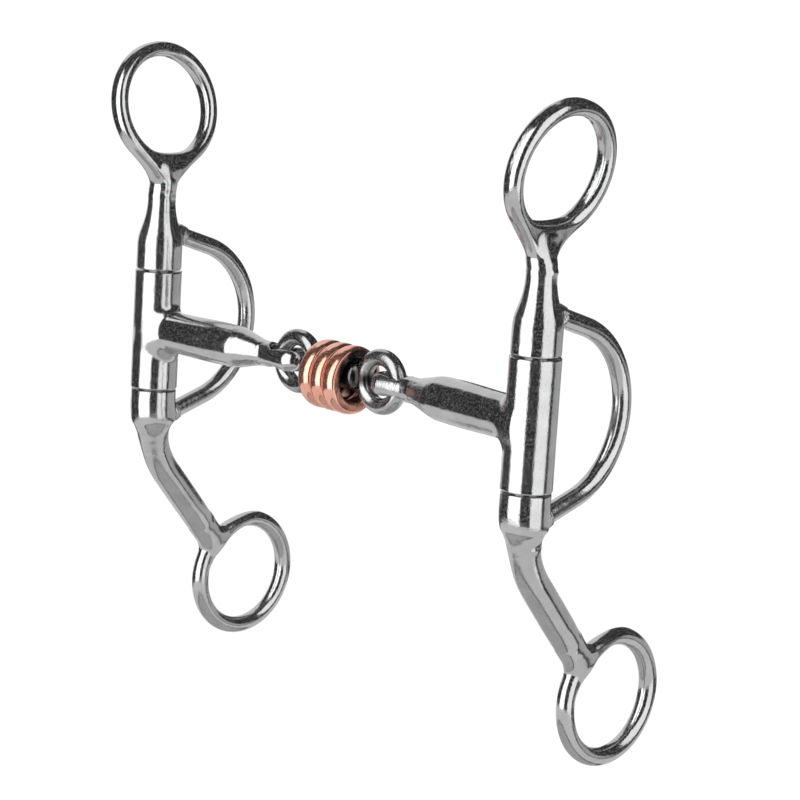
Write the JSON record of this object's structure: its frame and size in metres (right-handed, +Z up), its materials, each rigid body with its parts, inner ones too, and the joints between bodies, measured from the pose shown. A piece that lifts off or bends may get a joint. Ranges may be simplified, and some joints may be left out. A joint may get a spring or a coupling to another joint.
{
  "type": "curb bit",
  "caption": "Loose-cheek curb bit: a jointed mouthpiece with copper rollers between swivelling cheeks with headstall rings, snaffle loops and swept shanks.",
  "frame": {"origin": "middle of the mouthpiece's centre link", "axes": "+X along the mouthpiece to the right cheek, +Y to the rear, the way the shanks sweep, +Z up to the headstall rings"},
  "size_m": [0.1554, 0.0699, 0.1696],
  "materials": {
    "cheek_steel": "stainless steel, polished to a near mirror",
    "mouth_steel": "stainless steel, mirror polished",
    "link_steel": "stainless steel, polished, darker",
    "pin_steel": "machined steel",
    "copper": "solid copper, polished"
  },
  "bodies": {
    "link": {"link_bar": "link_steel", "left_link_ring": "link_steel", "right_link_ring": "link_steel"},
    "roller_1": {"roller_1": "copper"},
    "roller_2": {"roller_2": "copper"},
    "roller_3": {"roller_3": "copper"},
    "left_arm": {"left_sleeve": "mouth_steel", "left_arm": "mouth_steel"},
    "left_cheek": {"left_core_pin": "pin_steel", "left_purchase": "cheek_steel", "left_headstall_ring": "cheek_steel", "left_snaffle_loop": "cheek_steel", "left_lower_barrel": "cheek_steel", "left_shank": "cheek_steel", "left_rein_ring": "cheek_steel"},
    "right_arm": {"right_sleeve": "mouth_steel", "right_arm": "mouth_steel"},
    "right_cheek": {"right_core_pin": "pin_steel", "right_purchase": "cheek_steel", "right_headstall_ring": "cheek_steel", "right_snaffle_loop": "cheek_steel", "right_lower_barrel": "cheek_steel", "right_shank": "cheek_steel", "right_rein_ring": "cheek_steel"}
  },
  "joints": [
    {"name": "roller_1_spin", "type": "hinge", "parent": "link", "child": "roller_1", "pos_m": [-0.0045, 0, -0.0014], "axis": [1, 0, 0], "continuous": true},
    {"name": "roller_2_spin", "type": "hinge", "parent": "link", "child": "roller_2", "pos_m": [0, 0, -0.0014], "axis": [1, 0, 0], "continuous": true},
    {"name": "roller_3_spin", "type": "hinge", "parent": "link", "child": "roller_3", "pos_m": [0.0045, 0, -0.0014], "axis": [1, 0, 0], "continuous": true},
    {"name": "left_fold", "type": "hinge", "parent": "link", "child": "left_arm", "pos_m": [-0.02175, 0, 0], "axis": [0, 0, 1], "range_deg": [-30, 22]},
    {"name": "right_fold", "type": "hinge", "parent": "link", "child": "right_arm", "pos_m": [0.02175, 0, 0], "axis": [0, 0, -1], "range_deg": [-30, 22]},
    {"name": "left_swivel", "type": "hinge", "parent": "left_arm", "child": "left_cheek", "pos_m": [-0.06985, -0.0033, 0], "axis": [0, 0, 1], "range_deg": [-70, 255]},
    {"name": "right_swivel", "type": "hinge", "parent": "right_arm", "child": "right_cheek", "pos_m": [0.06985, -0.0033, 0], "axis": [0, 0, -1], "range_deg": [-70, 255]}
  ]
}
